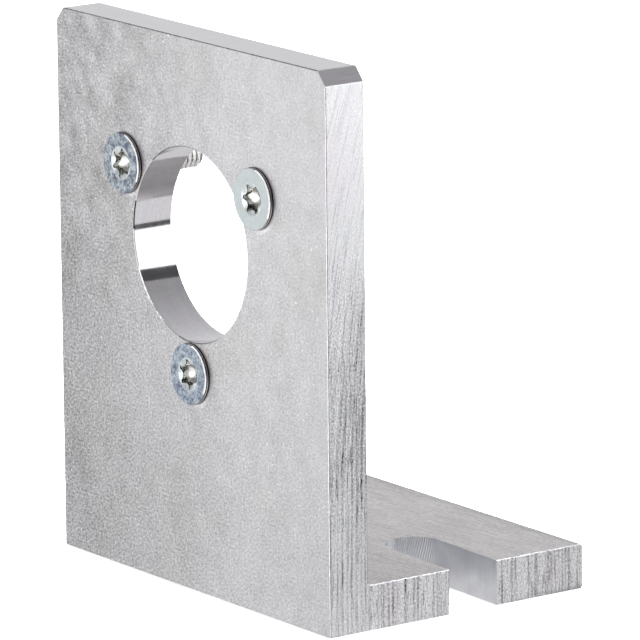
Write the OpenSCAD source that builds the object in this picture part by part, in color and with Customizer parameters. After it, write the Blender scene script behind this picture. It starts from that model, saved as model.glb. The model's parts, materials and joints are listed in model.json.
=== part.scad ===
// Angle bracket: a short length of aluminium angle, sawn off square at both sides. A large bore
// goes through its upright, with three flat-headed screws close round it whose ends stand out
// behind. The foot has a slot that is open at each side.
// Lengths are in millimetres and angles in degrees. The origin lies on the foot's underside, in
// the middle of the line through both slots' mouths. +Z is up, and the screws' heads face -Y.

/* [Angle] */
// Width of the bracket from one sawn side to the other
width = 60; // [54:0.5:90]
// Height of the upright above the foot's underside
height = 72.5; // [66:0.5:100]
// Depth of the foot behind the upright's front face
foot_depth = 40.2; // [34:0.1:60]
// Thickness of the upright and of the foot
wall = 5.9; // [4.5:0.1:8]
// Radius of the fillet inside the corner
root_r = 0.6; // [0.4:0.1:3]
// Radius along the foot's toe
toe_r = 0.4; // [0.2:0.1:1.5]
// Radius along the upright's top back edge
top_edge_r = 0.2; // [0.1:0.1:1.5]
// Width of the bevel across each of the upright's two top corners
corner_bevel_w = 1.6; // [0.5:0.1:5]
// Height of that bevel
corner_bevel_h = 1.8; // [0.5:0.1:5]

/* [Bore] */
// Diameter of the bore
bore_d = 25.4; // [16:0.1:30]
// Height of the bore's axis above the foot's underside
bore_height = 45.6; // [38:0.1:48]

/* [Foot slots] */
// Width of a slot
slot_w = 7.5; // [5:0.1:9]
// Reach of a slot from the bracket's side to its round end
slot_reach = 17; // [10:0.1:20]
// Distance from the upright's front face to the middle of the slots' mouths
slot_setback = 22.5; // [18:0.1:26]
// Angle by which each slot leans back towards its round end
slot_skew = 2.2; // [0:0.1:4]

/* [Screws] */
// Outer diameter of the thread
screw_d = 4; // [3:0.1:5]
// Length of a screw, head included
screw_length = 12; // [10:0.5:25]
// Diameter of the head
head_d = 8; // [7:0.1:10]
// Height of the rim below the head's flat, which stands proud of the upright
head_rim = 0.6; // [0.3:0.05:1]
// Bevel round the head's edge
head_bevel = 0.12; // [0.05:0.01:0.25]
// Bevel round the screw's end
tip_bevel = 0.5; // [0.2:0.05:1]
// Gap between the edge of a head and the edge of the bore
head_to_bore = 0.2; // [0.1:0.05:2]
// Gap between a screw and its hole
screw_clearance = 0.2; // [0.1:0.05:0.4]
// Gap between a head's cone and its countersink
seat_gap = 0.04; // [0.02:0.01:0.08]
// Angle at which each screw came to rest when it was driven home
screw_turns = [0, 22, -20]; // [-30:1:30]

/* [Screw recess] */
// Width of the six-lobed recess across two lobes
lobe_span = 3.95; // [3.4:0.05:4.4]
// Width of the recess across two hollows
hollow_span = 2.85; // [2.5:0.05:3.1]
// Radius of a lobe's end
lobe_r = 0.3; // [0.2:0.02:0.4]
// Depth of the recess below the head's flat, at its middle
recess_depth = 1.5; // [1:0.1:2]
// Angle between the recess's conical floor and the screw's axis
floor_half_angle = 70; // [65:1:85]
// Diameter of the bevelled mouth
mouth_d = 4.3; // [4.1:0.1:5.4]
// Angle between the mouth's bevel and the screw's axis
mouth_half_angle = 70; // [55:1:75]

/* [Hidden] */
$fn = 96;

// Cutters run this far past the faces they cut
over = 1;
// Number of straight stretches in the arc of a lobe and in the arc of a hollow
arc_steps = 8;

first_screw_angle = 30;
screw_step = 120;
screw_circle_r = bore_d / 2 + head_to_bore + head_d / 2;
cone_depth = (head_d - screw_d) / 2;
screw_hole_r = screw_d / 2 + screw_clearance;

// A lobe and a hollow touch at a joint on the line between their centres, which sets the
// hollow's radius and the angle of that line.
lobe_x = lobe_span / 2 - lobe_r;
lobe_x_along = lobe_x * cos(30);
hollow_r = (pow(lobe_r, 2) - pow(hollow_span / 2, 2) - pow(lobe_x, 2) + hollow_span * lobe_x_along)
    / (hollow_span - 2 * lobe_x_along - 2 * lobe_r);
hollow_x = hollow_span / 2 + hollow_r;
joint_angle = atan2(hollow_x * sin(30), hollow_x * cos(30) - lobe_x);

function polar(r, angle) = [r * cos(angle), r * sin(angle)];

function arc(centre, r, from, to, first, last) =
    [for (i = [first : last]) centre + polar(r, from + (to - from) * i / arc_steps)];

function six_lobes() = [
    for (a = [0 : 60 : 300]) each concat(
        arc(polar(lobe_x, a), lobe_r, a - joint_angle, a + joint_angle, 0, arc_steps),
        arc(polar(hollow_x, a + 30), hollow_r, a + 180 + joint_angle, a + 240 - joint_angle, 1, arc_steps - 1)
    )
];

// Puts a thing whose face lies at z = 0, looking up, on the upright's front face
module on_front(x, z) {
    translate([x, -slot_setback, z]) rotate([90, 0, 0]) children();
}

// The waste outside a rounded corner, for a corner at the origin that fills the lower left
module corner_waste(r) {
    difference() {
        translate([-r, -r]) square(r + over);
        translate([-r, -r]) circle(r);
    }
}

// Cross-section of the angle: x runs back from the upright's front face, y runs up
module angle_section() {
    difference() {
        union() {
            square([wall, height]);
            square([foot_depth, wall]);
            translate([wall, wall]) difference() {
                square(root_r);
                translate([root_r, root_r]) circle(root_r);
            }
        }
        translate([wall, height]) corner_waste(top_edge_r);
        translate([foot_depth, wall]) corner_waste(toe_r);
        translate([foot_depth, 0]) mirror([0, 1]) corner_waste(toe_r);
    }
}

module angle_stock() {
    translate([-width / 2, -slot_setback, 0])
        rotate([90, 0, 90]) linear_extrude(width) angle_section();
}

// What the bevel takes off a top corner. Its slanted side runs on past both ends of the bevel
module top_corner_waste() {
    steepness = corner_bevel_h / corner_bevel_w;
    reach = corner_bevel_w + over;
    on_front(width / 2 - corner_bevel_w, height)
        translate([0, 0, -wall - over])
            linear_extrude(wall + 2 * over)
                polygon([[-over, over * steepness], [reach, over * steepness], [reach, -reach * steepness]]);
}

module bore() {
    on_front(0, bore_height)
        translate([0, 0, -wall - over]) cylinder(h = wall + 2 * over, d = bore_d);
}

module countersunk_hole() {
    rim_r = head_d / 2 + seat_gap;
    translate([0, 0, -wall - over]) cylinder(h = wall + 2 * over, r = screw_hole_r);
    translate([0, 0, screw_hole_r - rim_r])
        cylinder(h = rim_r - screw_hole_r + over, r1 = screw_hole_r, r2 = rim_r + over);
}

// The right slot, turned about the middle of its mouth
module foot_slot() {
    end_x = slot_w / 2 - slot_reach;
    translate([width / 2, 0, -over]) rotate(-slot_skew) {
        translate([end_x, 0]) cylinder(h = wall + 2 * over, d = slot_w);
        translate([end_x, -slot_w / 2]) cube([over - end_x, slot_w, wall + 2 * over]);
    }
}

module at_screws() {
    for (i = [0 : len(screw_turns) - 1]) at_screw(i) children();
}

module at_screw(i) {
    place = polar(screw_circle_r, first_screw_angle + i * screw_step);
    on_front(place[0], bore_height + place[1]) rotate(screw_turns[i]) children();
}

module bracket() {
    color([0.74, 0.74, 0.75])
        difference() {
            angle_stock();
            bore();
            at_screws() countersunk_hole();
            for (side = [0, 1]) mirror([side, 0, 0]) {
                foot_slot();
                top_corner_waste();
            }
        }
}

// The six-lobed recess, with its mouth at z = 0. A cone that opens upwards gives its floor
module recess() {
    cone_h = recess_depth + over;
    mouth_depth = (mouth_d - hollow_span) / 2 / tan(mouth_half_angle);
    translate([0, 0, -recess_depth]) intersection() {
        linear_extrude(cone_h) polygon(six_lobes());
        cylinder(h = cone_h, r1 = 0, r2 = cone_h * tan(floor_half_angle));
    }
    translate([0, 0, -mouth_depth])
        cylinder(h = 2 * mouth_depth, d1 = hollow_span, d2 = 2 * mouth_d - hollow_span);
}

// Half of the screw's outline, from the middle of its head's flat down to its end
module screw_outline() {
    polygon([
        [0, head_rim],
        [head_d / 2 - head_bevel, head_rim],
        [head_d / 2, head_rim - head_bevel],
        [head_d / 2, 0],
        [screw_d / 2, -cone_depth],
        [screw_d / 2, head_rim - screw_length + tip_bevel],
        [screw_d / 2 - tip_bevel, head_rim - screw_length],
        [0, head_rim - screw_length]
    ]);
}

module screw(i) {
    color([0.72, 0.75, 0.78])
        at_screw(i) difference() {
            rotate_extrude() screw_outline();
            translate([0, 0, head_rim]) recess();
        }
}

bracket();
screw(0);  // screw_right
screw(1);  // screw_left
screw(2);  // screw_bottom
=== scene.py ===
"""Dresses the angle bracket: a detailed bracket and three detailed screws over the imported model.

Lengths below are in millimetres, and the meshes are scaled to metres when they are made.
"""

import json
import math

import bmesh
import bpy
from mathutils import Matrix, Vector, noise


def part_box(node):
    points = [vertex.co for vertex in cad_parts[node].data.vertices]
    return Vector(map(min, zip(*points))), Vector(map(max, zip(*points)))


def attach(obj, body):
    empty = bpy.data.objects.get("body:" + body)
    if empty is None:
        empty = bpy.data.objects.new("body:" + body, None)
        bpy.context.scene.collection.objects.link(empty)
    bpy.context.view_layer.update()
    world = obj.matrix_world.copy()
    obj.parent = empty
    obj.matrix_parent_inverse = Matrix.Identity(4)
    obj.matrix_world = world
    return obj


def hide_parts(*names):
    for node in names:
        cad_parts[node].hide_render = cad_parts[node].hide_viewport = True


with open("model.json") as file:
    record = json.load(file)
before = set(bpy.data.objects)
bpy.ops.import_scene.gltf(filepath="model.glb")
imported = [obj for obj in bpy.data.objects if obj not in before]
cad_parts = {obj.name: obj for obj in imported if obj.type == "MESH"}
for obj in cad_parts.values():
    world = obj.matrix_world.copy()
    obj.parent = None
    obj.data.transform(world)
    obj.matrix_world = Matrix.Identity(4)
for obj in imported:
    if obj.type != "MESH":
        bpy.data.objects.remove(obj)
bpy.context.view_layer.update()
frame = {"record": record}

MM = 0.001
TAU = 2 * math.pi

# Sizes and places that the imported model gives
MOUNTS = {m["name"]: m for m in frame["record"]["mounts"]}
LOW, HIGH = (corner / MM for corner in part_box("bracket"))
SCREW_LOW, SCREW_HIGH = (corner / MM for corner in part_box("screw_bottom"))
HALF_WIDTH = HIGH.x
TOP = HIGH.z
FRONT = LOW.y
TOE = HIGH.y
BACK = MOUNTS["back_seat"]["pos_m"][1] / MM
WALL = BACK - FRONT
BORE_R = MOUNTS["bore"]["dims"]["r_mm"]
BORE_Z = MOUNTS["bore"]["pos_m"][2] / MM
SLOT_R = MOUNTS["slot_right"]["dims"]["hole_r_mm"]
SLOT_END = Vector(MOUNTS["slot_right"]["pos_m"][:2]) / MM
SCREW_CIRCLE_R = MOUNTS["screw_ends"]["dims"]["pcd_mm"] / 2
SHANK_R = MOUNTS["screw_ends"]["dims"]["stud_r_mm"]
HEAD_R = (SCREW_HIGH.x - SCREW_LOW.x) / 2
HEAD_RIM = FRONT - SCREW_LOW.y
SCREW_END = FRONT - SCREW_HIGH.y

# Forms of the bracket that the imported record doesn't give
ROOT_R = 0.6
TOE_R = 0.4
TOP_EDGE_R = 0.2
BEVEL_WIDTH = 1.6
BEVEL_HEIGHT = 1.8
SEAT_GAP = 0.04
SCREW_CLEARANCE = 0.2
EDGE_BREAK = 0.12

# How far out a side begins, with its broken edges
SIDE_FROM = HALF_WIDTH - EDGE_BREAK * 1.5

# How near a plane the faces of its broken edges lie, and its own faces
EDGE_ZONE = 0.2
FLUSH = 0.01

# How near two points are to be one, and how far a cutter sticks out
NEAR = 1e-4
OVER = 1.0

# Steps round and along the fine forms
BORE_STEPS = 288
SCREW_STEPS = 144
THREAD_STEPS = 12
SLOT_STEPS = 216
SLOT_LAYERS = 18

# Chatter marks round the end of a slot, which reach their depth within one part in RIDGE_RAMP of its arc
RIDGE_PITCH = 0.33
RIDGE_DEPTH = 0.06
RIDGE_LEAN = 0.78
RIDGE_RAMP = 6

# Saw marks on the bracket's two sides: the mesh's steps, and each deep groove's place and width along Y
SAW_PITCH = 0.1
SAW_STEP = 0.8
SAW_DEPTH = 0.1
SAW_GROOVES = (
    (-22.3, 0.12), (-21.3, 0.14), (-20.55, 0.2), (-19.8, 0.12), (-19.1, 0.18), (-18.35, 0.24), (-17.6, 0.2),
    (-17.0, 0.14), (-16.3, 0.2), (-15.0, 0.26), (-14.2, 0.24), (-13.5, 0.16), (-12.7, 0.18), (-10.65, 0.28),
    (-9.4, 0.3), (-8.8, 0.16), (-5.6, 0.26), (4.6, 0.2), (6.3, 0.22), (8.9, 0.14), (10.2, 0.34),
    (12.0, 0.24), (14.4, 0.2), (15.5, 0.34), (17.2, 0.2),
)
SAW_FADE_FROM = 22
SAW_FADE_TO = 58

# How far along Y the left side's marks are read from, past the grooves that are placed on the right side
LEFT_SHIFT = 50

# How the saw's path leans back with height: its place along Y is this times the height cubed
SAW_BOW = 2.4e-5

# How the front rim of the bore looks, from each angle up to the next one: plain edge, or painted shade and
# painted glints by where the rim faces
BORE_RIM = {
    80: "dark_edge", 130: "edge", 162: "black_edge", 180: "edge", 202: "white_edge", 222: "burr",
    242: "edge", 257: "dark_edge", 300: "edge",
}

# Dull stains on the front as (x, z, radius)
STAINS = ((-25.5, 66, 4.5), (-20, 61, 3.5), (-28, 50, 4), (-27, 12, 5), (-26, 38, 15))

# Forms of a screw
SCREW_TURNS = {"screw_right": 0, "screw_left": 22, "screw_bottom": -20}
SCREW_ANGLES = {"screw_right": 30, "screw_left": 150, "screw_bottom": 270}
HEAD_BEVEL = 0.12
RIM_FOOT = 0.08
RIM_INSET = 0.05
LOBE_SPAN = 3.95
HOLLOW_SPAN = 2.85
LOBE_R = 0.3
RECESS_DEPTH = 1.5
FLOOR_RISE = 1 / math.tan(math.radians(70))
WALL_FOOT = 0.03
WALL_TAPER = 0.015
MOUTH_R = 2.15
MOUTH_RISE = 1 / math.tan(math.radians(70))
MOUTH_EDGE = 0.04
CREST_R = SHANK_R - 0.02
THREAD_PITCH = 0.7
THREAD_DEPTH = 0.42
THREAD_START = 0.25
THREAD_RUNOUT = 0.5
TIP_BEVEL = 0.5
TIP_R = 0.3

# A thread's flank, as shares of the pitch from the groove's middle: where it ends, and how wide it is
FLANK_END = 0.44
FLANK_WIDTH = 0.3

# Bands of light on a recess's walls: the distance from one to the next, and how far over its middle one lies
BAND_PITCH = 1.5
BAND_RISE = 1.05

# Where the bevel round a head glints: the angle of the glint's middle, and how far it reaches to each side
GLINT_AT = 22
GLINT_REACH = 53

# Zinc on each head's flat: dark and pale colour, strength of the clouds and their level
ZINC_FLATS = {
    "screw_right": ((0.53, 0.58, 0.58), (0.6, 0.65, 0.66), 0.12, 0.1),
    "screw_left": ((0.12, 0.14, 0.2), (0.55, 0.61, 0.64), 1.0, -0.15),
    "screw_bottom": ((0.14, 0.17, 0.25), (0.52, 0.59, 0.65), 0.8, 0.1),
}

# The camera that fits the photograph
CAMERA_AZIMUTH = 54.335
CAMERA_ELEVATION = 12.78
CAMERA_ROLL = -0.578
CAMERA_DISTANCE = 888.2
CAMERA_AIM = Vector((9.591, -9.012, 35.596))
CAMERA_LENS = 389.76
CAMERA_SENSOR = 36

# How far the floor and the card over it reach, and how high the card lies
FLOOR_REACH = 4000
FLOOR_CARD_REACH = 600
FLOOR_CARD_LIFT = 0.02


def arc(centre, radius, start, end, steps):
    """Points along an arc, with angles in degrees."""
    turns = [math.radians(start + (end - start) * i / steps) for i in range(steps + 1)]
    return [(centre[0] + radius * math.cos(a), centre[1] + radius * math.sin(a)) for a in turns]


def object_from(bm, name, materials=()):
    """Makes an object from a bmesh in millimetres."""
    mesh = bpy.data.meshes.new(name)
    bmesh.ops.scale(bm, vec=(MM, MM, MM), verts=bm.verts)
    bm.normal_update()
    bm.to_mesh(mesh)
    bm.free()
    for material in materials:
        mesh.materials.append(material)
    piece = bpy.data.objects.new(name, mesh)
    bpy.context.scene.collection.objects.link(piece)
    return piece


def loft(rings):
    """A closed bmesh through rings of points, with a cap at each end."""
    bm = bmesh.new()
    rings = [[bm.verts.new(point) for point in ring] for ring in rings]
    for lower, upper in zip(rings, rings[1:]):
        for i in range(len(lower)):
            j = (i + 1) % len(lower)
            bm.faces.new((lower[i], lower[j], upper[j], upper[i]))
    bm.faces.new(rings[0][::-1])
    bm.faces.new(rings[-1])
    bmesh.ops.recalc_face_normals(bm, faces=bm.faces)
    return bm


def prism(outline, low, high, place):
    """A bmesh prism over an outline. place turns (u, v, height) into a point."""
    return loft([[place(u, v, h) for u, v in outline] for h in (low, high)])


def lathe(profile, steps, place):
    """A closed bmesh turned from (radius, height) points that start and end on the axis."""
    bm = bmesh.new()
    rings = []
    for radius, height in profile:
        if radius == 0:
            rings.append([bm.verts.new(place(0, 0, height))] * steps)
            continue
        turns = [TAU * i / steps for i in range(steps)]
        points = [place(radius * math.cos(a), radius * math.sin(a), height) for a in turns]
        rings.append([bm.verts.new(point) for point in points])
    for lower, upper in zip(rings, rings[1:]):
        for i in range(steps):
            j = (i + 1) % steps
            corners = [lower[i], lower[j], upper[j], upper[i]]
            bm.faces.new(list(dict.fromkeys(corners)))
    bmesh.ops.recalc_face_normals(bm, faces=bm.faces)
    return bm


def cut_away(piece, cutters):
    """Cuts closed meshes out of a piece, one after the other."""
    for cutter in cutters:
        modifier = piece.modifiers.new("cut", "BOOLEAN")
        modifier.operation = "DIFFERENCE"
        modifier.solver = "EXACT"
        modifier.object = cutter
    evaluated = piece.evaluated_get(bpy.context.evaluated_depsgraph_get())
    mesh = bpy.data.meshes.new_from_object(evaluated)
    piece.modifiers.clear()
    piece.data = mesh
    for cutter in cutters:
        bpy.data.objects.remove(cutter)


def angle_outline():
    """The angle's section as (y, z) points, from the front's foot round the toe and up the back."""
    return [
        (FRONT, 0),
        *arc((TOE - TOE_R, TOE_R), TOE_R, -90, 0, 8),
        *arc((TOE - TOE_R, WALL - TOE_R), TOE_R, 0, 90, 8),
        *arc((BACK + ROOT_R, WALL + ROOT_R), ROOT_R, 270, 180, 10),
        *arc((BACK - TOP_EDGE_R, TOP - TOP_EDGE_R), TOP_EDGE_R, 0, 90, 4),
        (FRONT, TOP),
    ]


def screw_place(name):
    """Centre of a screw on the upright, as (x, z)."""
    angle = math.radians(SCREW_ANGLES[name])
    return SCREW_CIRCLE_R * math.cos(angle), BORE_Z + SCREW_CIRCLE_R * math.sin(angle)


def bore_cutter():
    """A cylinder through the upright."""

    def place(u, v, h):
        return (u, h, BORE_Z + v)

    profile = [(0, FRONT - OVER), (BORE_R, FRONT - OVER), (BORE_R, BACK + OVER), (0, BACK + OVER)]
    return object_from(lathe(profile, BORE_STEPS, place), "bore_cutter")


def countersink_cutter(name):
    """A cone and a cylinder through the upright, where a screw is seated."""
    x, z = screw_place(name)
    rim = HEAD_R + SEAT_GAP
    hole = SHANK_R + SCREW_CLEARANCE

    def place(u, v, h):
        return (x + u, FRONT + h, z + v)

    profile = [(0, -OVER), (rim + OVER, -OVER), (hole, rim - hole), (hole, WALL + OVER), (0, WALL + OVER)]
    return object_from(lathe(profile, SCREW_STEPS, place), "countersink_cutter")


def slot_ring(side, height):
    """A slot's outline at a height, with leaning ridges round its end."""
    along = (Vector((HALF_WIDTH, 0)) - SLOT_END).normalized()
    across = Vector((-along.y, along.x))
    points = []
    for i in range(SLOT_STEPS + 1):
        share = i / SLOT_STEPS
        angle = math.pi * (0.5 + share)
        length = (angle - math.pi / 2) * SLOT_R + RIDGE_LEAN * (WALL - height)
        depth = RIDGE_DEPTH * min(1.0, RIDGE_RAMP * share, RIDGE_RAMP * (1 - share))
        radius = SLOT_R + depth * math.cos(TAU * length / RIDGE_PITCH)
        points.append(SLOT_END + along * radius * math.cos(angle) + across * radius * math.sin(angle))
    reach = (HALF_WIDTH - SLOT_END.x) + OVER
    points.append(SLOT_END + along * reach - across * SLOT_R)
    points.append(SLOT_END + along * reach + across * SLOT_R)
    return [(side * p.x, p.y, height) for p in points]


def slot_cutter(side):
    """A slot's form, from under the foot to over it."""
    heights = [-OVER] + [WALL * i / SLOT_LAYERS for i in range(SLOT_LAYERS + 1)] + [WALL + OVER]
    return object_from(loft([slot_ring(side, h) for h in heights]), "slot_cutter")


def corner_cutter(side):
    """A wedge that bevels one of the upright's top corners."""
    steepness = BEVEL_HEIGHT / BEVEL_WIDTH
    reach = BEVEL_WIDTH + OVER
    outline = [(-OVER, OVER * steepness), (reach, OVER * steepness), (reach, -reach * steepness)]

    def place(u, v, h):
        return (side * (HALF_WIDTH - BEVEL_WIDTH + u), h, TOP + v)

    return object_from(prism(outline, FRONT - OVER, BACK + OVER, place), "corner_cutter")


def cut_faces(bm, faces, axis, at):
    """Cuts faces across one axis, and gives their parts that lie beyond the cut."""
    parts = list(faces)
    parts += dict.fromkeys(e for f in faces for e in f.edges)
    parts += dict.fromkeys(v for f in faces for v in f.verts)
    centre = Vector((0, 0, 0))
    centre[axis] = at
    normal = Vector((0, 0, 0))
    normal[axis] = 1
    cut = bmesh.ops.bisect_plane(bm, geom=parts, dist=NEAR / 10, plane_co=centre, plane_no=normal)
    pieces = [g for g in cut["geom"] if isinstance(g, bmesh.types.BMFace) and g.is_valid]
    return [f for f in pieces if f.calc_center_median()[axis] > at]


def slice_sides(bm, axis, places):
    """Slices the side faces and the broken edges round them across one axis, from low to high."""
    for side in (-1, 1):
        rest = [
            f for f in bm.faces
            if abs(f.normal.x) > 0.3 and all(side * v.co.x > SIDE_FROM for v in f.verts)
        ]
        for at in places:
            lowest = {f: min(v.co[axis] for v in f.verts) for f in rest}
            highest = {f: max(v.co[axis] for v in f.verts) for f in rest}
            crossing = [f for f in rest if lowest[f] < at - NEAR and highest[f] > at + NEAR]
            beyond = [f for f in rest if lowest[f] >= at - NEAR]
            if crossing:
                beyond += cut_faces(bm, crossing, axis, at)
            rest = beyond


def streaks(across, z, width, length, seed):
    """Noise about nought, in streaks of a width and a length along the saw's path."""
    return noise.noise(Vector((across / width, z / length, seed)))


def saw_relief(y, z):
    """Depth of the saw's marks below a side of the bracket, as a share of the deepest."""
    across = y - SAW_BOW * z**3 + 0.1 * noise.noise(Vector((y * 0.4, z * 0.06, 7)))
    broad = streaks(across, z, 0.9, 40, 0)
    groove = max(0.0, streaks(across, z, 0.3, 16, 11) - 0.1)
    fine = streaks(across, z, 0.15, 2.2, 23)
    placed = 0.0
    for centre, width in SAW_GROOVES:
        off = abs(across - centre) / width
        if off < 1:
            weight = 0.75 + 0.5 * noise.noise(Vector((centre * 9.1, z / 9, 41)))
            placed = max(placed, weight * (1 - off * off))
    fade = 1.0
    if y < BACK:
        fade = min(1.0, max(0.12, (SAW_FADE_TO - z) / (SAW_FADE_TO - SAW_FADE_FROM)))
    return min(1.0, max(0.0, 0.12 + 0.1 * broad + fade * (0.75 * placed + 0.8 * groove + 0.16 * fine)))


def roughen_sides(bm):
    """Sinks the side faces by the depth of the saw's marks, and keeps that depth on the mesh."""
    layer = bm.verts.layers.float.new("saw")
    for v in bm.verts:
        if abs(v.co.x) > SIDE_FROM:
            side = 1 if v.co.x > 0 else -1
            shift = 0 if side > 0 else LEFT_SHIFT
            depth = saw_relief(v.co.y + shift, v.co.z)
            v.co.x -= side * SAW_DEPTH * depth
            v[layer] = depth


# The bracket's surfaces in the order of its materials, and those that are whole planes
FACES = (
    "front", "back", "side", "top", "foot", "bevel", "bore", "seat", "slot",
    "edge", "dark_edge", "black_edge", "white_edge", "burr",
)
PLANAR = ("front", "side", "top", "foot", "bevel")


def face_kind(face):
    """Which surface of the bracket a face belongs to."""
    normal = face.normal
    centre = face.calc_center_median()
    from_bore = math.hypot(centre.x, centre.z - BORE_Z)
    if abs(normal.x) > 0.99 and abs(centre.x) > HALF_WIDTH - FLUSH:
        return "side"
    if normal.y < -0.99 and centre.y < FRONT + FLUSH:
        return "front"
    if abs(normal.y) < 0.05 and abs(from_bore - BORE_R) < 0.05 and FRONT < centre.y < BACK:
        return "bore"
    for name in SCREW_ANGLES:
        x, z = screw_place(name)
        if math.hypot(centre.x - x, centre.z - z) < HEAD_R and FRONT + 0.05 < centre.y < BACK:
            return "seat"
    if abs(normal.z) < 0.7 and abs(centre.y) < SLOT_R + 1 and 0 < centre.z < WALL:
        return "slot"
    if normal.z > 0.9 and centre.z > TOP - 0.1:
        return "top"
    if abs(normal.x) > 0.6 and abs(normal.z) > 0.6 and centre.z > TOP - BEVEL_HEIGHT:
        return "bevel"
    if normal.z > 0.9 and centre.z < WALL + 0.1:
        return "foot"
    return "back"


def edge_kind(face):
    """How a broken edge looks: like the face beside it, or as a painted line of shade, a painted glint or a
    burr with a painted glint, by where it lies and which way it faces.
    """
    centre = face.calc_center_median()
    normal = face.normal
    at_side = abs(centre.x) > HALF_WIDTH - EDGE_ZONE
    at_front = centre.y < FRONT + EDGE_ZONE
    if centre.z < EDGE_ZONE:
        return "side" if at_side else "front"
    if centre.z > TOP - BEVEL_HEIGHT - 0.1 and abs(centre.x) > HALF_WIDTH - BEVEL_WIDTH - 0.1:
        return "edge"
    if math.hypot(centre.x, centre.z - BORE_Z) < BORE_R + 1 and at_front:
        turn = math.degrees(math.atan2(centre.z - BORE_Z, centre.x)) % 360
        start = max((angle for angle in BORE_RIM if angle < turn), default=max(BORE_RIM))
        return BORE_RIM[start]
    if at_side and at_front:
        return "white_edge" if abs(normal.y) > abs(normal.x) else "dark_edge"
    if at_side and centre.z < WALL + EDGE_ZONE:
        return "burr" if normal.z > abs(normal.x) else "side"
    return "dark_edge" if at_side or at_front else "edge"


def is_flat(face, kind):
    """Whether a face is shaded flat, because it is a whole plane and not a strip of a curve."""
    return kind in PLANAR or face.calc_area() > (4 if kind == "slot" else 30)


def sharpen(bm, angle):
    """Shades smooth where faces meet at less than an angle in degrees, and sharp elsewhere."""
    for face in bm.faces:
        face.smooth = True
    for edge in bm.edges:
        edge.smooth = edge.is_manifold and edge.calc_face_angle() < math.radians(angle)


def is_broken(edge, kinds):
    """Whether an edge gets a narrow bevel. The rims of slots and countersinks stay as they are."""
    if not edge.is_manifold or edge.calc_face_angle() < math.radians(25):
        return False
    if all(abs(v.co.x) > HALF_WIDTH - FLUSH for v in edge.verts):
        return True
    return not {"slot", "seat"} & {kinds[f] for f in edge.link_faces}


def cut_stock():
    """A length of angle, bored, countersunk, slotted and cut at its corners, as a bmesh in millimetres."""
    length = prism(angle_outline(), -HALF_WIDTH, HALF_WIDTH, lambda y, z, x: (x, y, z))
    stock = object_from(length, "bracket_body")
    cutters = [bore_cutter()]
    cutters += [countersink_cutter(name) for name in SCREW_ANGLES]
    cutters += [cutter(side) for cutter in (slot_cutter, corner_cutter) for side in (-1, 1)]
    cut_away(stock, cutters)
    bm = bmesh.new()
    bm.from_mesh(stock.data)
    bpy.data.objects.remove(stock)
    bmesh.ops.scale(bm, vec=(1 / MM, 1 / MM, 1 / MM), verts=bm.verts)
    bmesh.ops.remove_doubles(bm, verts=bm.verts, dist=NEAR)
    bm.normal_update()
    return bm


def break_edges(bm):
    """Gives each face its material, and each sharp edge a narrow bevel with a material of its own."""
    kinds = {face: face_kind(face) for face in bm.faces}
    for face, kind in kinds.items():
        face.material_index = FACES.index(kind)
    bmesh.ops.bevel(
        bm, geom=[e for e in bm.edges if is_broken(e, kinds)], offset=EDGE_BREAK, offset_type="OFFSET",
        segments=2, profile=0.5, affect="EDGES", clamp_overlap=True, material=FACES.index("edge"),
    )
    bm.normal_update()


def make_bracket(materials):
    """The bracket, with its edges broken, its planes shaded flat and the saw's marks in its sides."""
    bm = cut_stock()
    break_edges(bm)
    kinds = {face: FACES[face.material_index] for face in bm.faces}
    flat = [face for face, kind in kinds.items() if kind != "side" and is_flat(face, kind)]
    sharpen(bm, 18)
    for face in flat:
        face.smooth = False
    for axis, start, end, step in ((2, 0, TOP, SAW_STEP), (1, FRONT, TOE, SAW_PITCH)):
        slice_sides(bm, axis, [start + step * i for i in range(1, int((end - start) / step) + 1)])
        bm.normal_update()
    for face in bm.faces:
        if FACES[face.material_index] == "edge":
            face.material_index = FACES.index(edge_kind(face))
    roughen_sides(bm)
    return object_from(bm, "bracket_body", materials)


def lobe_radius(angle):
    """Radius of the six-lobed outline: lobes and hollows are arcs that run into each other."""
    lobe_x = LOBE_SPAN / 2 - LOBE_R
    along = lobe_x * math.cos(math.radians(30))
    hollow_r = (LOBE_R**2 - (HOLLOW_SPAN / 2) ** 2 - lobe_x**2 + HOLLOW_SPAN * along) / (
        HOLLOW_SPAN - 2 * along - 2 * LOBE_R
    )
    hollow_x = HOLLOW_SPAN / 2 + hollow_r
    towards = math.atan2(hollow_x * 0.5, hollow_x * math.cos(math.radians(30)) - lobe_x)
    joint = math.atan2(LOBE_R * math.sin(towards), lobe_x + LOBE_R * math.cos(towards))
    step = TAU / 6
    off = (angle + step / 2) % step - step / 2
    if abs(off) < joint:
        return lobe_x * math.cos(off) + math.sqrt(LOBE_R**2 - (lobe_x * math.sin(off)) ** 2)
    off = step / 2 - abs(off)
    return hollow_x * math.cos(off) - math.sqrt(hollow_r**2 - (hollow_x * math.sin(off)) ** 2)


def thread_radius(angle, height):
    """Radius of a right-hand thread at an angle and a height along the screw."""
    phase = (height / THREAD_PITCH - angle / TAU) % 1
    off = abs(phase - 0.5)
    depth = min(1.0, max(0.0, (FLANK_END - off) / FLANK_WIDTH))
    return CREST_R - THREAD_DEPTH * depth


# A screw's surfaces in the order of its materials
SCREW_FACES = ("floor", "recess", "lip", "mouth", "flat", "bevel", "rim", "thread")


def round_ring(kind, radius, height):
    """A round ring of a screw as (kind, points)."""
    return (kind, [(radius, height)] * SCREW_STEPS)


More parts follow.
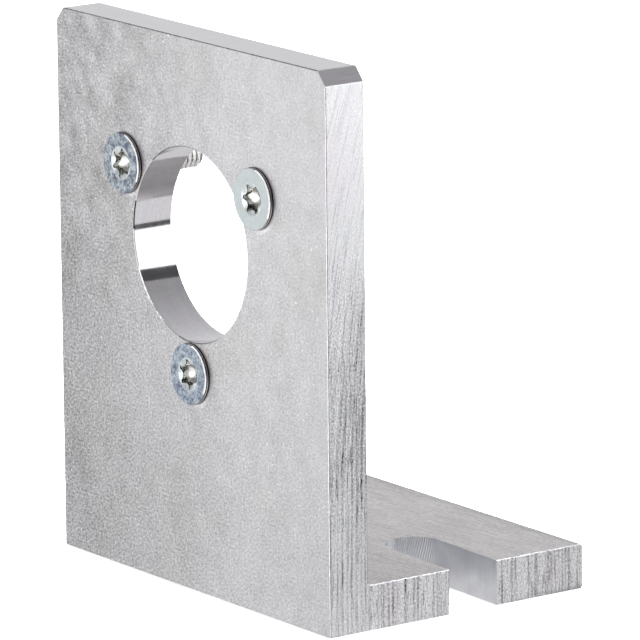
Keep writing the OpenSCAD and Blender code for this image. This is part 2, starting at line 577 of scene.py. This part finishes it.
def head_rings(turns):
    """Rings of a screw's head as (kind, points), from the middle of its recess out to its rim."""
    lobes = [lobe_radius(a) for a in turns]
    floor = HEAD_RIM - RECESS_DEPTH

    def floor_point(r, share):
        return (r * share, floor + r * share * FLOOR_RISE)

    def mouth_height(radius):
        return HEAD_RIM - (MOUTH_R - radius) * MOUTH_RISE

    def wall_point(r, share):
        foot = floor + r * FLOOR_RISE + WALL_FOOT
        return (r * (1 - WALL_TAPER + WALL_TAPER * share), foot + (mouth_height(r) - foot) * share)

    def mouth_point(r, share):
        radius = r + (MOUTH_R - r) * share
        return (radius, mouth_height(radius))

    def lobed_rings(kind, point, shares):
        return [(kind, [point(r, share) for r in lobes]) for share in shares]

    rings = lobed_rings("floor", floor_point, (0.02, 0.3, 0.6, 0.85, 0.96))
    rings += lobed_rings("recess", wall_point, (0, 0.2, 0.4, 0.6, 0.78))
    rings += lobed_rings("lip", wall_point, (1,))
    rings += lobed_rings("mouth", mouth_point, (0.35, 0.7, 0.94))
    rings.append(round_ring("mouth", MOUTH_R + MOUTH_EDGE, HEAD_RIM))
    flat_r = HEAD_R - HEAD_BEVEL
    for share in (0.35, 0.7, 0.98):
        rings.append(round_ring("flat", MOUTH_R + (flat_r - MOUTH_R) * share, HEAD_RIM))
    for point in arc((flat_r, HEAD_RIM - HEAD_BEVEL), HEAD_BEVEL, 90, 0, 5):
        rings.append(round_ring("bevel", *point))
    rings.append(round_ring("rim", HEAD_R, RIM_FOOT))
    rings.append(round_ring("rim", HEAD_R - RIM_INSET, 0))
    return rings


def shank_rings(turns):
    """Rings of a screw below its rim as (kind, points), down its cone and its thread to its end."""
    cone_r = HEAD_R - RIM_INSET
    cone_end = SHANK_R - HEAD_R
    rings = []
    for share in (0.03, 0.5, 0.97):
        rings.append(round_ring("rim", cone_r + (SHANK_R - cone_r) * share, cone_end * share))
    start = cone_end - THREAD_START
    count = int((start - SCREW_END) / THREAD_PITCH * THREAD_STEPS)
    for i in range(count + 1):
        height = start + (SCREW_END - start) * i / count
        limit = CREST_R - max(0.0, TIP_BEVEL - (height - SCREW_END))
        runout = min(1.0, (start - height) / THREAD_RUNOUT)
        radii = [CREST_R + (thread_radius(a, height) - CREST_R) * runout for a in turns]
        rings.append(("thread", [(min(r, limit), height) for r in radii]))
    rings.append(round_ring("thread", TIP_R, SCREW_END))
    return rings


def bevel_kind(facing):
    """How the bevel round a head looks at an angle: bright where it glints, and like the flat elsewhere."""
    off = math.remainder(math.degrees(facing) - GLINT_AT, 360)
    return "bevel" if abs(off) < GLINT_REACH else "flat"


def make_screw(name, materials):
    """One screw as a grid of rings from the middle of its recess to the middle of its end."""
    x, z = screw_place(name)
    turn = math.radians(SCREW_TURNS[name])
    turns = [TAU * i / SCREW_STEPS for i in range(SCREW_STEPS)]
    rings = head_rings(turns) + shank_rings(turns)
    bm = bmesh.new()
    c, s = math.cos(turn), math.sin(turn)

    def place(radius, height, angle):
        u, v = radius * math.cos(angle), radius * math.sin(angle)
        return (x + u * c - v * s, FRONT - height, z + u * s + v * c)

    grid = [[bm.verts.new(place(r, h, a)) for (r, h), a in zip(ring, turns)] for _, ring in rings]
    for upper, lower, (kind, _) in zip(grid, grid[1:], rings[1:]):
        for i in range(SCREW_STEPS):
            j = (i + 1) % SCREW_STEPS
            face = bm.faces.new((upper[i], lower[i], lower[j], upper[j]))
            face.material_index = SCREW_FACES.index(bevel_kind(turns[i] + turn) if kind == "bevel" else kind)
    bm.faces.new(grid[0]).material_index = SCREW_FACES.index("floor")
    bm.faces.new(grid[-1][::-1]).material_index = SCREW_FACES.index("thread")
    bmesh.ops.recalc_face_normals(bm, faces=bm.faces)
    sharpen(bm, 28)
    return object_from(bm, name + "_detail", materials)


class Tree:
    """Short calls that build a node tree. Places in it are in millimetres, unless a unit is given."""

    def __init__(self, owner, source="Object", unit=MM):
        owner.use_nodes = True
        self.tree = owner.node_tree
        coords = self.node("ShaderNodeTexCoord")
        scale = self.node("ShaderNodeVectorMath", operation="SCALE")
        self.feed(scale.inputs[0], coords.outputs[source])
        scale.inputs["Scale"].default_value = 1 / unit
        self.place = scale.outputs[0]
        split = self.node("ShaderNodeSeparateXYZ")
        self.feed(split.inputs[0], self.place)
        self.x, self.y, self.z = split.outputs

    def node(self, kind, **settings):
        node = self.tree.nodes.new(kind)
        for key, value in settings.items():
            setattr(node, key, value)
        return node

    def feed(self, socket, value):
        """Links a socket to another one, or sets its value."""
        if isinstance(value, bpy.types.NodeSocket):
            self.tree.links.new(value, socket)
        else:
            socket.default_value = value

    def math(self, operation, *values):
        node = self.node("ShaderNodeMath", operation=operation)
        for socket, value in zip(node.inputs, values):
            self.feed(socket, value)
        return node.outputs[0]

    def total(self, start, *parts):
        """A start value plus patterns, each as (pattern, amount)."""
        for pattern, amount in parts:
            start = self.math("MULTIPLY_ADD", pattern, amount, start)
        return start

    def ranged(self, value, start, end, low, high):
        """Goes from low to high while a value goes from start to end."""
        node = self.node("ShaderNodeMapRange")
        for socket, number in zip(node.inputs, (value, start, end, low, high)):
            self.feed(socket, number)
        return node.outputs[0]

    def away(self, first, second, centre):
        """Distance from a centre, across the two axes given."""
        parts = [self.math("POWER", self.math("SUBTRACT", a, c), 2) for a, c in zip((first, second), centre)]
        return self.math("SQRT", self.math("ADD", *parts))


class Surface(Tree):
    """A metal made of nodes."""

    def __init__(self, name, rough, metallic=1.0):
        self.material = bpy.data.materials.new(name)
        super().__init__(self.material)
        self.shader = self.tree.nodes["Principled BSDF"]
        self.shader.inputs["Metallic"].default_value = metallic
        self.shader.inputs["Roughness"].default_value = rough

    def lean_back(self):
        """Lets the patterns that follow lean with height as the saw's path does."""
        joined = self.node("ShaderNodeCombineXYZ")
        bow = self.math("MULTIPLY", self.math("POWER", self.z, 3), SAW_BOW)
        for socket, value in zip(joined.inputs, (self.x, self.math("SUBTRACT", self.y, bow), self.z)):
            self.feed(socket, value)
        self.place = joined.outputs[0]

    def turned(self, size, turn=0, axis="Y"):
        """Places measured in features of a size along each axis, turned by degrees about one axis."""
        node = self.node("ShaderNodeMapping", vector_type="TEXTURE")
        self.feed(node.inputs["Vector"], self.place)
        node.inputs["Scale"].default_value = size
        node.inputs["Rotation"].default_value["XYZ".index(axis)] = math.radians(turn)
        return node.outputs[0]

    def grain(self, size, turn=0, axis="Y", detail=2.0, rough=0.5):
        """Noise about nought, mostly between minus one and one."""
        node = self.node("ShaderNodeTexNoise")
        self.feed(node.inputs["Vector"], self.turned(size, turn, axis))
        node.inputs["Scale"].default_value = 1
        node.inputs["Detail"].default_value = detail
        node.inputs["Roughness"].default_value = rough
        return self.math("MULTIPLY_ADD", node.outputs[0], 4, -2)

    def half(self, pattern):
        """A pattern about nought, brought to between nought and one."""
        return self.ranged(pattern, -0.8, 0.8, 0, 1)

    def marks(self, size, turn, level, axis="Y"):
        """Marks of one, on nought, where noise passes a level."""
        return self.ranged(self.grain(size, turn, axis, detail=1), level, level + 0.2, 0, 1)

    def spots(self, spacing, radius, share):
        """Round specks of one, on nought, in some of the cells of a grid."""
        node = self.node("ShaderNodeTexVoronoi")
        self.feed(node.inputs["Vector"], self.turned((spacing,) * 3))
        node.inputs["Scale"].default_value = 1
        near = self.ranged(node.outputs["Distance"], radius, radius * 0.4, 0, 1)
        split = self.node("ShaderNodeSeparateColor")
        self.feed(split.inputs[0], node.outputs["Color"])
        chosen = self.math("LESS_THAN", split.outputs[0], share)
        return self.math("MULTIPLY", near, chosen)

    def kept(self, name):
        """A value that the mesh keeps at its points."""
        return self.node("ShaderNodeAttribute", attribute_name=name).outputs["Fac"]

    def colour(self, low, high, blend, tone):
        """A colour between two, by blend from nought to one, times a tone."""
        mix = self.node("ShaderNodeMixRGB")
        self.feed(mix.inputs[0], blend)
        mix.inputs[1].default_value = (*low, 1)
        mix.inputs[2].default_value = (*high, 1)
        scale = self.node("ShaderNodeVectorMath", operation="SCALE")
        self.feed(scale.inputs[0], mix.outputs[0])
        self.feed(scale.inputs["Scale"], tone)
        self.feed(self.shader.inputs["Base Color"], scale.outputs[0])

    def rough(self, value):
        self.feed(self.shader.inputs["Roughness"], value)

    def whiten(self, flecks):
        """Takes the metal's shine away where there are flecks, which leaves them white and dull."""
        self.feed(self.shader.inputs["Metallic"], self.math("SUBTRACT", 1, flecks))

    def bump(self, height, depth):
        """Bumps by a height from nought to one, times a depth in millimetres."""
        node = self.node("ShaderNodeBump")
        node.inputs["Distance"].default_value = depth * MM
        self.feed(node.inputs["Height"], height)
        self.feed(self.shader.inputs["Normal"], node.outputs[0])


def front_surface():
    """Rubbed aluminium: speckled grain, short scratches every way, slow warm and cool patches, painted shade
    to the left and painted light by the heads.
    """
    s = Surface("aluminium_front", 0.42)
    patches = s.grain((11, 11, 15), 20)
    clouds = s.grain((2.6, 2.6, 3.6), -25, detail=3, rough=0.6)
    mottled = s.ranged(s.away(s.x, s.z, (-26, 64)), 10, 30, 0.24, 0.09)
    stains = [s.ranged(s.away(s.x, s.z, (x, z)), radius, 0, 0, -0.09) for x, z, radius in STAINS]
    speckle = s.grain((0.4, 0.3, 0.3), rough=0.6)
    worn = s.math("MULTIPLY", speckle, s.ranged(s.total(0.0, (s.x, 1), (s.z, 0.5)), -30, 58, 0.57, 0.19))
    layers = [s.marks((0.16, 1, length), turn, level) for turn, length, level in (
        (14, 1.6, 0.92), (-22, 1.2, 0.95), (48, 0.9, 1.0), (-60, 1.0, 1.0), (4, 3.5, 1.05),
    )]
    scratches = s.total(0.0, *((layer, 1) for layer in layers))
    flecks = s.spots(1.1, 0.17, 0.4)
    # Painted light on the plate just right of each head, lifting the shade that the head's dark rim leaves
    # beside it
    painted_light_by_heads = []
    for x, z in map(screw_place, SCREW_ANGLES):
        near = s.ranged(s.away(s.x, s.z, (x, z)), HEAD_R, HEAD_R + 0.8, 0.8, 0)
        painted_light_by_heads.append(s.math("MULTIPLY", near, s.ranged(s.x, x, x + 3, 0, 1)))
    # Painted shade and light: the front grows darker towards the left and lighter towards the right
    light = s.ranged(s.x, -30, 12, 0.78, 1.095)
    mottles = s.math("MULTIPLY", clouds, mottled)
    tone = s.total(
        light, (patches, 0.04), (mottles, 1), (worn, 1), (scratches, 0.3), (flecks, 0.24),
        *((part, 1) for part in painted_light_by_heads + stains),
    )
    s.colour((0.605, 0.595, 0.601), (0.602, 0.603, 0.624), s.half(patches), tone)
    s.whiten(s.math("MULTIPLY", flecks, 0.45))
    s.bump(s.total(0.5, (speckle, 0.25), (scratches, 0.3)), 0.012)
    return s.material


def side_surface():
    """Sawn aluminium: long streaks along the saw's path with specks between them, calmer near the top."""
    s = Surface("aluminium_side", 0.34)
    s.lean_back()
    broad = s.marks((1, 0.32, 12), 0, 0.35, axis="X")
    narrow = s.marks((1, 0.24, 4), -2, 0.45, axis="X")
    bright = s.marks((1, 0.22, 3), 2, 0.6, axis="X")
    beads = s.grain((1, 0.24, 0.32), axis="X", rough=0.7)
    flecks = s.spots(0.7, 0.16, 0.3)
    foot = s.ranged(s.y, BACK - 0.5, BACK + 0.5, 0, 0.9)
    low = s.math("MAXIMUM", foot, s.ranged(s.z, 8, 20, 0.65, 1))
    strength = s.math("MULTIPLY", s.ranged(s.z, 54, 36, 0.36, 1.25), low)
    sawn = s.kept("saw")
    cut = s.total(
        0.15, (broad, -0.3), (narrow, -0.4), (bright, 0.24), (beads, 0.48), (sawn, -0.45), (flecks, 0.4),
    )
    dull = s.math("MULTIPLY", s.ranged(s.y, -20.5, -17.5, 0, 0.1), s.ranged(s.z, 50, 40, 0, 1))
    shade = s.math("MULTIPLY", dull, s.ranged(s.z, 12, 24, 0, 1))
    spots = s.marks((1, 0.7, 0.7), 0, 0.7, axis="X")
    tone = s.total(1.0, (s.math("MULTIPLY", cut, strength), 1), (spots, -0.06), (shade, -1))
    s.colour((0.67, 0.65, 0.68), (0.69, 0.7, 0.72), s.half(s.grain((1, 5, 9))), tone)
    s.whiten(s.math("MULTIPLY", flecks, s.ranged(s.z, 54, 34, 0.2, 0.6)))
    s.bump(s.total(0.5, (beads, 0.3), (broad, -0.3)), 0.02)
    return s.material


def top_surface():
    """The upright's smooth top, with faint lines along it."""
    s = Surface("aluminium_top", 0.3)
    lines = s.grain((9, 0.2, 1))
    tint = s.half(s.grain((9, 3, 1)))
    s.colour((0.89, 0.88, 0.91), (0.92, 0.92, 0.94), tint, s.total(1.0, (lines, 0.04)))
    s.bump(s.total(0.5, (lines, 0.3)), 0.004)
    return s.material


def drawn_surface(name, low, high, rough):
    """Drawn metal: fine lines along X and slow patches, with painted shade at the toe and towards the corner
    by the upright.
    """
    s = Surface(name, rough)
    lines = s.grain((5, 0.25, 0.25), 5, axis="Z", detail=3, rough=0.6)
    fine = s.grain((0.8, 0.35, 0.35), detail=3, rough=0.75)
    patches = s.grain((9, 5, 5), detail=3)
    marks = s.marks((1.6, 0.16, 0.16), 9, 0.9, axis="Z")
    # Painted shade: darker near the toe and towards the corner where the foot meets the upright
    toe = s.ranged(s.y, TOE - 2.2, TOE - 0.3, 0, -0.25)
    corner = s.ranged(s.y, -2, -7, 0, -0.13)
    tone = s.total(1.0, (lines, 0.2), (fine, 0.26), (patches, 0.06), (marks, 0.25), (toe, 1), (corner, 1))
    s.colour(low, high, s.half(patches), tone)
    s.bump(s.total(0.5, (lines, 0.3), (fine, 0.2)), 0.006)
    return s.material


def bevel_surface():
    s = Surface("aluminium_bevel", 0.25)
    lines = s.grain((0.2, 4, 0.2))
    s.colour((0.79, 0.76, 0.8), (0.81, 0.79, 0.83), s.half(lines), s.total(1.0, (lines, 0.04)))
    return s.material


def bore_surface():
    """A bored wall, with fine rings round it."""
    rough = 0.08
    s = Surface("aluminium_bore", rough)
    rings = s.grain((60, 0.16, 60), detail=3, rough=0.6)
    patches = s.grain((6, 1.5, 6))
    specks = s.grain((0.5, 0.5, 0.5), detail=3, rough=0.7)
    tone = s.total(1.0, (rings, 0.05), (specks, 0.06))
    s.colour((0.79, 0.76, 0.8), (0.81, 0.8, 0.83), s.half(patches), tone)
    s.rough(s.total(rough, (patches, 0.02)))
    s.bump(s.total(0.5, (rings, 0.3)), 0.0008)
    return s.material


def seat_surface():
    s = Surface("aluminium_seat", 0.3)
    rings = s.grain((60, 0.2, 60))
    s.colour((0.6, 0.6, 0.6), (0.66, 0.66, 0.67), s.half(rings), 1.0)
    return s.material


def slot_surface():
    """A milled wall, bluish, with faint upright marks."""
    s = Surface("aluminium_slot", 0.33)
    marks = s.grain((0.3, 0.3, 5))
    patches = s.grain((4, 4, 3), detail=3)
    tone = s.total(1.0, (marks, 0.05), (patches, 0.07))
    s.colour((0.73, 0.72, 0.76), (0.77, 0.79, 0.81), s.half(patches), tone)
    s.bump(s.total(0.5, (marks, 0.3)), 0.002)
    return s.material


def edge_surface(name, low, high, rough):
    """A worn edge that is brighter and darker along its length."""
    s = Surface(name, rough)
    s.colour(low, high, s.half(s.grain((0.6, 0.6, 0.6))), 1.0)
    return s.material


def burr_surface(name, least, most):
    """A torn edge of metal with white, dull flakes, also used as a painted glint on edges. least and most
    bound how white it is.
    """
    s = Surface(name, 0.4)
    flakes = s.ranged(s.grain((0.7, 0.7, 0.7)), -0.7, 0.5, least, most)
    s.colour((0.72, 0.72, 0.73), (0.9, 0.9, 0.9), flakes, 1.0)
    s.whiten(flakes)
    return s.material


def zinc_flat(name, dark, pale, cloud, level):
    """The flat of a screw's head: zinc in clouds, with bright and dark specks. level shifts the clouds."""
    s = Surface(name, 0.3)
    large = s.grain((1.3, 1.3, 1.3))
    small = s.grain((0.38, 0.38, 0.38), detail=3, rough=0.7)
    clouds = s.total(level, (large, 0.6), (small, 0.9))
    bright = s.spots(0.6, 0.17, 0.4)
    dull = s.spots(0.55, 0.2, 0.4)
    tone = s.total(1.0, (bright, 0.8 * cloud), (dull, -0.5 * cloud))
    s.colour(dark, pale, s.ranged(clouds, -0.6, 0.6, 0, 1), tone)
    s.whiten(s.math("MULTIPLY", bright, 0.8 * cloud))
    s.bump(s.total(0.5, (clouds, 0.3)), 0.02 * cloud)
    return s.material


def zinc_rim(name):
    """A head's rim: a brown-grey band between two dark lines of painted shade, as its height over the plate
    goes.
    """
    s = Surface(name, 0.3)
    height = s.math("SUBTRACT", FRONT, s.y)
    # Painted shade: a dark line above the band, on the rim's upper part, and one below it, in the gap at the
    # plate
    upper = s.ranged(height, 0.38, 0.3, 0, 1)
    lower = s.ranged(height, 0.14, 0.22, 0, 1)
    band = s.math("MULTIPLY", upper, lower)
    s.colour((0.03, 0.025, 0.03), (0.55, 0.5, 0.5), band, 1.0)
    return s.material


def zinc_recess(name, centre_z):
    """A recess's walls, which catch light and dark in wavy bands across the screw."""
    s = Surface(name, 0.15)
    start = -(centre_z + BAND_RISE) * TAU / BAND_PITCH
    turn = s.total(start, (s.z, TAU / BAND_PITCH), (s.grain((0.8, 0.8, 0.5), detail=1), 1.0))
    light = s.ranged(s.math("COSINE", turn), -0.7, 0.4, 0, 1)
    s.colour((0.2, 0.2, 0.18), (0.95, 0.96, 0.92), light, 1.0)
    s.whiten(s.math("MULTIPLY", light, 0.55))
    return s.material


def zinc_floor(name, centre_z):
    """A recess's conical floor: a painted highlight across its middle, darker above and below."""
    s = Surface(name, 0.2)
    off = s.math("ABSOLUTE", s.math("SUBTRACT", s.z, centre_z))
    clouds = s.grain((0.5, 0.5, 0.5), detail=3, rough=0.6)
    # Painted highlight: the floor is bright in a band across its middle
    middle = s.ranged(off, 0.8, 0.5, 0, 1)
    s.colour((0.34, 0.33, 0.31), (0.9, 0.9, 0.88), middle, s.total(1.0, (clouds, 0.15)))
    return s.material


def zinc_thread(name, centre):
    """A thread: painted highlights on the crests and painted shade in the grooves, by the distance from the
    screw's axis.
    """
    s = Surface(name, 0.2)
    lit_crest = s.ranged(s.away(s.x, s.z, centre), SHANK_R - THREAD_DEPTH, SHANK_R - 0.2, 0, 1)
    s.colour((0.3, 0.3, 0.28), (0.95, 0.95, 0.95), lit_crest, 1.0)
    s.whiten(s.math("MULTIPLY", lit_crest, 0.4))
    return s.material


def zinc_plain(name, low, high, rough, white=0.0):
    """Zinc on the small faces of a head. white takes its shine away."""
    s = Surface(name, rough, 1 - white)
    clouds = s.grain((0.5, 0.5, 0.5), detail=3, rough=0.6)
    s.colour(low, high, s.half(clouds), s.total(1.0, (clouds, 0.08)))
    s.bump(s.total(0.5, (clouds, 0.3)), 0.01)
    return s.material


def bracket_materials():
    surfaces = {
        "front": front_surface(),
        "back": drawn_surface("aluminium_back", (0.6, 0.59, 0.58), (0.64, 0.64, 0.65), 0.4),
        "side": side_surface(),
        "top": top_surface(),
        "foot": drawn_surface("aluminium_foot", (0.72, 0.69, 0.69), (0.75, 0.735, 0.74), 0.32),
        "bevel": bevel_surface(),
        "bore": bore_surface(),
        "seat": seat_surface(),
        "slot": slot_surface(),
        "edge": edge_surface("aluminium_edge", (0.68, 0.68, 0.69), (0.82, 0.82, 0.83), 0.3),
        # Painted shade on broken edges that face away from the light, and painted glints on those that catch
        # it
        "dark_edge": edge_surface("aluminium_dark_edge", (0.14, 0.14, 0.15), (0.42, 0.42, 0.43), 0.4),
        "black_edge": edge_surface("aluminium_black_edge", (0.01, 0.01, 0.01), (0.05, 0.05, 0.05), 0.5),
        "white_edge": burr_surface("aluminium_white_edge", 0.45, 0.9),
        "burr": burr_surface("aluminium_burr", 0.05, 0.65),
    }
    return [surfaces[kind] for kind in FACES]


def screw_materials(name):
    centre = screw_place(name)
    pale = ZINC_FLATS[name][1]
    surfaces = {
        "floor": zinc_floor("zinc_floor_" + name, centre[1]),
        "recess": zinc_recess("zinc_recess_" + name, centre[1]),
        # The lip round the recess's mouth: near-black, as painted shade at the recess's edge
        "lip": zinc_plain("zinc_lip_" + name, (0.03, 0.03, 0.03), (0.12, 0.12, 0.12), 0.4),
        "mouth": zinc_plain("zinc_mouth_" + name, pale, (0.76, 0.79, 0.8), 0.2),
        "flat": zinc_flat("zinc_flat_" + name, *ZINC_FLATS[name]),
        # The glinting part of a head's bevel: near-white, as a painted glint
        "bevel": zinc_plain("zinc_bevel_" + name, (0.88, 0.9, 0.9), (0.93, 0.94, 0.95), 0.2, 0.5),
        "rim": zinc_rim("zinc_rim_" + name),
        "thread": zinc_thread("zinc_thread_" + name, centre),
    }
    return [surfaces[kind] for kind in SCREW_FACES]


def floor_surface():
    s = Surface("floor", 0.9, metallic=0.0)
    s.colour((0.855, 0.855, 0.855), (0.865, 0.865, 0.865), s.half(s.grain((300, 300, 300))), 1.0)
    return s.material


def add_camera():
    azimuth, elevation, roll = (math.radians(a) for a in (CAMERA_AZIMUTH, CAMERA_ELEVATION, CAMERA_ROLL))
    level = math.cos(elevation)
    back = Vector((math.sin(azimuth) * level, -math.cos(azimuth) * level, math.sin(elevation)))
    right = Vector((math.cos(azimuth), math.sin(azimuth), 0))
    up = back.cross(right)
    axes = Matrix((right, up, back)).transposed() @ Matrix.Rotation(roll, 3, "Z")
    camera = bpy.data.objects.new("camera", bpy.data.cameras.new("camera"))
    bpy.context.scene.collection.objects.link(camera)
    camera.matrix_world = Matrix.Translation((CAMERA_AIM + back * CAMERA_DISTANCE) * MM) @ axes.to_4x4()
    camera.data.lens = CAMERA_LENS
    camera.data.sensor_width = CAMERA_SENSOR
    bpy.context.scene.camera = camera


class Glow(Tree):
    """A material that only shines."""

    def __init__(self, name, brightness=1.0):
        self.material = bpy.data.materials.new(name)
        super().__init__(self.material)
        self.tree.nodes.remove(self.tree.nodes["Principled BSDF"])
        self.emission = self.node("ShaderNodeEmission")
        self.emission.inputs["Strength"].default_value = brightness
        self.feed(self.tree.nodes["Material Output"].inputs["Surface"], self.emission.outputs[0])


def stage_card(bm, name, glow):
    """Puts a shining card into the studio, where only reflections see it."""
    card = object_from(bm, name, [glow.material])
    card.visible_camera = False
    card.visible_diffuse = False
    card.visible_shadow = False
    card.visible_transmission = False
    card.visible_volume_scatter = False


def add_card(name, azimuth, distance, width, low, high, brightness):
    """A card that stands on a circle round the upright and faces it. Azimuth 0 is in front of it."""
    a = math.radians(azimuth)
    outward = Vector((math.sin(a), -math.cos(a), 0))
    across = Vector((math.cos(a), math.sin(a), 0))
    centre = Vector((0, (FRONT + BACK) / 2, 0)) + outward * distance
    bm = bmesh.new()
    corners = [(-width / 2, low), (width / 2, low), (width / 2, high), (-width / 2, high)]
    bm.faces.new([bm.verts.new(centre + across * u + Vector((0, 0, v))) for u, v in corners])
    stage_card(bm, name, Glow(name, brightness))


def add_floor_card():
    """A sheet just over the floor for reflections.

    It is brighter in front than behind, with a bright pool far in front, and dim in the foot's shade.
    """
    bm = bmesh.new()
    bmesh.ops.create_grid(bm, x_segments=1, y_segments=1, size=FLOOR_CARD_REACH)
    bmesh.ops.translate(bm, verts=bm.verts, vec=(0, 0, FLOOR_CARD_LIFT))
    glow = Glow("floor_card")
    front = glow.ranged(glow.away(glow.x, glow.y, (0, FRONT)), 40, 220, 0.88, 1.08)
    back = glow.ranged(glow.x, -60, 40, 0.67, 0.76)
    behind = glow.ranged(glow.y, -22, 0, 0, 1)
    open_floor = glow.total(front, (glow.math("SUBTRACT", back, front), behind))
    pool = glow.ranged(glow.away(glow.x, glow.y, (-48, -240)), 100, 60, 0, 0.7)
    across = glow.math("LESS_THAN", glow.math("ABSOLUTE", glow.x), HALF_WIDTH + 1)
    deep = glow.ranged(glow.y, SLOT_R, TOE, 0, 0.5)
    shade = glow.math("MULTIPLY", across, glow.math("MULTIPLY", deep, glow.ranged(glow.y, 50, 35, 0, 1)))
    lit = glow.math("MULTIPLY", glow.math("ADD", open_floor, pool), glow.math("SUBTRACT", 1, shade))
    glow.feed(glow.emission.inputs["Strength"], lit)
    stage_card(bm, "floor_card", glow)


def add_lamp(name, place, aim, size, power):
    """A square lamp that doesn't show in reflections."""
    light = bpy.data.lights.new(name, "AREA")
    light.shape = "SQUARE"
    light.size = size * MM
    light.energy = power
    lamp = bpy.data.objects.new(name, light)
    bpy.context.scene.collection.objects.link(lamp)
    place, aim = Vector(place), Vector(aim)
    lamp.location = place * MM
    lamp.rotation_euler = (aim - place).to_track_quat("-Z", "Y").to_euler()
    lamp.visible_camera = False
    lamp.visible_glossy = False


def add_world():
    """A studio's air, brighter on the left than on the right and a little dimmer overhead."""
    world = bpy.data.worlds.new("studio")
    sky = Tree(world, "Generated", 1)
    background = sky.tree.nodes["Background"]
    background.inputs["Color"].default_value = (0.99, 0.99, 1, 1)
    left = sky.ranged(sky.x, 0.4, -0.8, 0.37, 0.7)
    sky.feed(background.inputs["Strength"], sky.math("MULTIPLY", left, sky.ranged(sky.z, 0.3, 0.8, 1, 0.93)))
    world.cycles.sampling_method = "NONE"
    bpy.context.scene.world = world


def add_stage():
    bm = bmesh.new()
    bmesh.ops.create_grid(bm, x_segments=1, y_segments=1, size=FLOOR_REACH)
    floor = object_from(bm, "floor", [floor_surface()])
    add_world()
    add_floor_card()
    add_card("panel_foot", azimuth=124, distance=148, width=270, low=0.5, high=15.5, brightness=0.1)
    add_card("panel", azimuth=124, distance=225, width=410, low=0.5, high=165, brightness=1.5)
    add_card("panel_top", azimuth=124, distance=225, width=410, low=165, high=232, brightness=0.08)
    add_card("panel_front", azimuth=-14, distance=330, width=130, low=0.5, high=110, brightness=1.6)
    add_card("dark_side", azimuth=62, distance=140, width=120, low=0.5, high=110, brightness=0.02)
    add_lamp("floor_wash", place=(-100, 200, 900), aim=(0, 0, 0), size=900, power=40)
    bpy.context.scene.view_settings.view_transform = "Standard"


add_camera()
add_stage()
bracket = make_bracket(bracket_materials())
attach(bracket, "root")
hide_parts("bracket")
for screw_name in SCREW_ANGLES:
    screw = make_screw(screw_name, screw_materials(screw_name))
    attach(screw, "root")
    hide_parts(screw_name)
